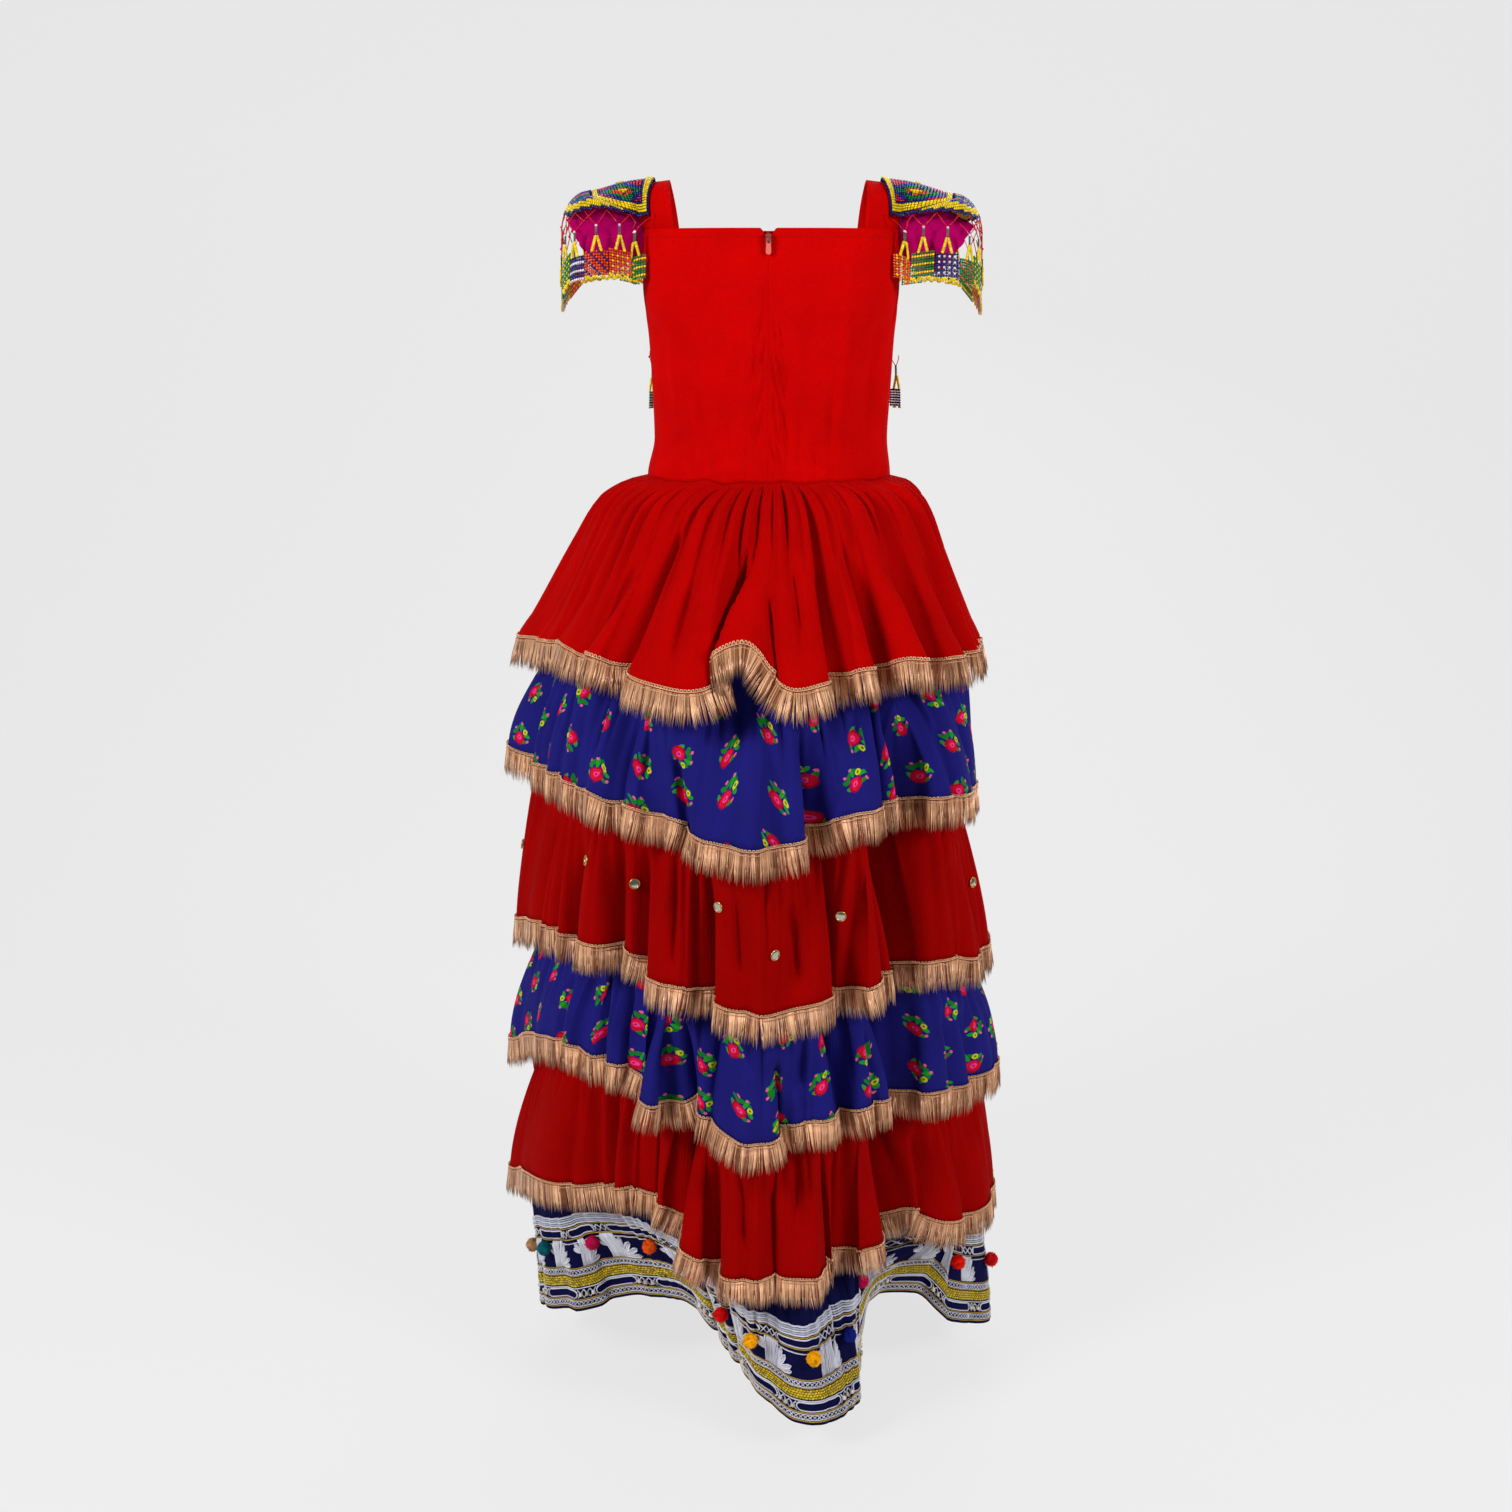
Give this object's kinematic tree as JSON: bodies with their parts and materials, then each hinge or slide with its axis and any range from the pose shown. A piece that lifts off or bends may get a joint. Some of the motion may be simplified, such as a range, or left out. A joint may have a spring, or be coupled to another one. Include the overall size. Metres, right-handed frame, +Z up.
{
  "type": "tiered dress",
  "caption": "Floor-length tiered dress in worn form: fitted bodice with a back zip, cap sleeves with beaded fringes, gathered tiers edged with metallic fringe.",
  "frame": {"origin": "between the tops of the two shoulder straps, where the wearer's shoulders carry the dress", "axes": "+Z up, +Y towards the wearer's front, -Y the back with the zip, +X to the wearer's right"},
  "size_m": [0.6108, 0.5674, 1.3882],
  "materials": {
    "bodice_crepe": "matte crepe",
    "sleeve_crepe": "matte crepe",
    "beadwork": "dense small beads",
    "bead_strings": "small beads on thread",
    "zip_tape": "woven tape",
    "zip_metal": "satin",
    "pull_enamel": "enamelled",
    "red_crepe": "matte crepe",
    "dark_red_crepe": "matte crepe",
    "blue_floral": "printed crepe",
    "navy_embroidered": "embroidered cotton",
    "gold_thread": "metallic thread",
    "pompom_wool": "cut wool",
    "mirror_disc": "small mirror in a gold rim"
  },
  "bodies": {
    "dress": {"bodice_front": "bodice_crepe", "bodice_back_left": "bodice_crepe", "bodice_back_right": "bodice_crepe", "strap_left": "bodice_crepe", "strap_right": "bodice_crepe", "sleeve_left": "sleeve_crepe", "sleeve_right": "sleeve_crepe", "bead_panel_left": "beadwork", "bead_panel_right": "beadwork", "bead_fringe_left": "bead_strings", "bead_fringe_right": "bead_strings", "chest_panel": "beadwork", "chest_fringe": "bead_strings", "zip_tape": "zip_tape", "zip_slider": "zip_metal", "tier_1": "red_crepe", "tier_2": "blue_floral", "tier_3": "dark_red_crepe", "tier_4": "blue_floral", "tier_5": "dark_red_crepe", "hem_tier": "navy_embroidered", "fringe_1": "gold_thread", "fringe_2": "gold_thread", "fringe_3": "gold_thread", "fringe_4": "gold_thread", "fringe_5": "gold_thread", "pompom_trim": "pompom_wool", "mirror_01": "mirror_disc", "mirror_02": "mirror_disc", "mirror_03": "mirror_disc", "mirror_04": "mirror_disc", "mirror_05": "mirror_disc", "mirror_06": "mirror_disc", "mirror_07": "mirror_disc", "mirror_08": "mirror_disc", "mirror_09": "mirror_disc", "mirror_10": "mirror_disc", "mirror_11": "mirror_disc", "mirror_12": "mirror_disc", "mirror_13": "mirror_disc", "mirror_14": "mirror_disc"},
    "zip_pull": {"zip_pull": "pull_enamel"}
  },
  "joints": [
    {"name": "zip_pull_hinge", "type": "hinge", "parent": "dress", "child": "zip_pull", "pos_m": [0, -0.0904, -0.062], "axis": [-1, 0, 0], "range_deg": [0, 150]}
  ]
}
